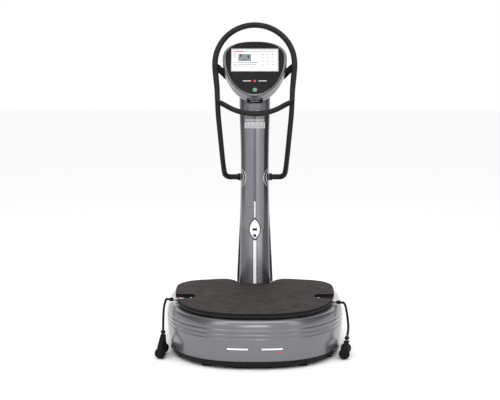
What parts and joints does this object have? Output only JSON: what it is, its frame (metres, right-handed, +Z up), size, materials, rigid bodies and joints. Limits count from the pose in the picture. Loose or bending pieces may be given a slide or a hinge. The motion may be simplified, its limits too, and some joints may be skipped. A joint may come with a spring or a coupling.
{
  "type": "vibration plate",
  "caption": "Whole-body vibration plate: rounded base with a floating rubber-topped platform, slim column, tilted screen console, hoop handlebar and cable handles.",
  "frame": {"origin": "on the floor, in the middle of the machine's footprint", "axes": "+Z up; the user stands on the platform at -Y and faces +Y; +X is to the user's right"},
  "size_m": [0.9092, 1.0233, 1.5548],
  "materials": {
    "graphite_shell": "metallic graphite paint, glossy",
    "light_grey_shell": "light silver grey paint, glossy",
    "black_plastic": "fine texture",
    "black_coated_steel": "satin powder coat",
    "black_rubber": "matt",
    "mat_rubber": "fine grained",
    "steel": "plain",
    "chrome": "bright",
    "white_plastic": "smooth",
    "screen_glass": "lit screen",
    "green_plastic": "satin",
    "circuit_board": "coated",
    "black_webbing": "woven"
  },
  "bodies": {
    "base": {"front_cover": "graphite_shell", "rear_cover": "light_grey_shell", "power_inlet": "black_plastic", "undertray": "black_plastic", "base_frame": "steel", "column_post": "steel", "drive_unit": "black_plastic", "foot_pad_front": "black_rubber", "foot_front_l": "black_rubber", "foot_front_r": "black_rubber", "foot_rear_l": "black_rubber", "foot_rear_r": "black_rubber", "foot_side_l": "black_rubber", "foot_side_r": "black_rubber", "isolator_front_l": "black_rubber", "isolator_front_r": "black_rubber", "isolator_rear_l": "black_rubber", "isolator_rear_r": "black_rubber", "column_front_cover": "graphite_shell", "column_rear_cover": "light_grey_shell", "neck_cover": "graphite_shell", "head_rear_shell": "graphite_shell", "head_bezel": "graphite_shell", "fascia": "black_plastic", "screen_frame": "chrome", "display_glass": "screen_glass", "display_board": "circuit_board", "port_socket": "black_plastic", "head_bracket": "steel", "pad_bezel": "black_plastic", "pad_face": "white_plastic", "handlebar_arch": "black_coated_steel", "handlebar_crossbar": "black_coated_steel", "handlebar_bracket_l": "black_coated_steel", "handlebar_bracket_r": "black_coated_steel", "collar_l": "black_plastic", "collar_r": "black_plastic"},
    "platform": {"vibration_plate": "black_coated_steel", "mat": "mat_rubber", "motor_cradle": "steel", "motor_front": "black_coated_steel", "motor_rear": "black_coated_steel"},
    "front_rotor": {"rotor_front": "steel"},
    "rear_rotor": {"rotor_rear": "steel"},
    "start_key": {"start_button": "green_plastic"},
    "oval_button": {"pad_button": "black_plastic"},
    "oval_key": {"pad_key": "black_plastic"},
    "rocker": {"power_switch": "black_plastic"},
    "cable_l": {"cable_eye_l": "chrome", "adjuster_l": "black_plastic", "cord_l": "black_webbing", "stopper_l": "black_plastic"},
    "cable_r": {"cable_eye_r": "chrome", "adjuster_r": "black_plastic", "cord_r": "black_webbing", "stopper_r": "black_plastic"},
    "handle_l": {"strap_l": "black_webbing", "grip_l": "black_rubber"},
    "handle_r": {"strap_r": "black_webbing", "grip_r": "black_rubber"}
  },
  "joints": [
    {"name": "plate_bounce", "type": "slide", "parent": "base", "child": "platform", "axis": [0, 0, 1], "range_m": [-0.002, 0.002], "stiffness_N_per_m": 600000, "springref_m": 0.00131, "deforming": ["isolator_front_l", "isolator_front_r", "isolator_rear_l", "isolator_rear_r"]},
    {"name": "front_rotor_spin", "type": "hinge", "parent": "platform", "child": "front_rotor", "pos_m": [0, -0.15, 0.1725], "axis": [1, 0, 0], "continuous": true},
    {"name": "rear_rotor_spin", "type": "hinge", "parent": "platform", "child": "rear_rotor", "pos_m": [0, 0.03, 0.1725], "axis": [1, 0, 0], "continuous": true},
    {"name": "start_key_press", "type": "slide", "parent": "base", "child": "start_key", "axis": [0, 0.829, -0.5592], "range_m": [0, 0.0015], "stiffness_N_per_m": 500},
    {"name": "oval_button_press", "type": "slide", "parent": "base", "child": "oval_button", "axis": [0, 1, 0], "range_m": [0, 0.001], "stiffness_N_per_m": 500},
    {"name": "oval_key_press", "type": "slide", "parent": "base", "child": "oval_key", "axis": [0, 1, 0], "range_m": [0, 0.001], "stiffness_N_per_m": 500},
    {"name": "rocker_tilt", "type": "hinge", "parent": "base", "child": "rocker", "pos_m": [0.021, 0.505, 0.102], "axis": [1, 0, 0], "range_deg": [-16, 0]},
    {"name": "cable_l_lift", "type": "hinge", "parent": "platform", "child": "cable_l", "pos_m": [-0.303, -0.122, 0.2352], "axis": [0, 1, 0], "range_deg": [0, 80]},
    {"name": "handle_l_swing", "type": "hinge", "parent": "cable_l", "child": "handle_l", "pos_m": [-0.42388, -0.26399, 0.11493], "axis": [1, 0, 0], "range_deg": [-60, 0]},
    {"name": "cable_r_lift", "type": "hinge", "parent": "platform", "child": "cable_r", "pos_m": [0.303, -0.122, 0.2352], "axis": [0, -1, 0], "range_deg": [0, 80]},
    {"name": "handle_r_swing", "type": "hinge", "parent": "cable_r", "child": "handle_r", "pos_m": [0.42498, -0.27835, 0.08963], "axis": [1, 0, 0], "range_deg": [-60, 0]}
  ],
  "couplings": [
    {"joint": "rear_rotor_spin", "follows": "front_rotor_spin", "ratio": -1}
  ]
}
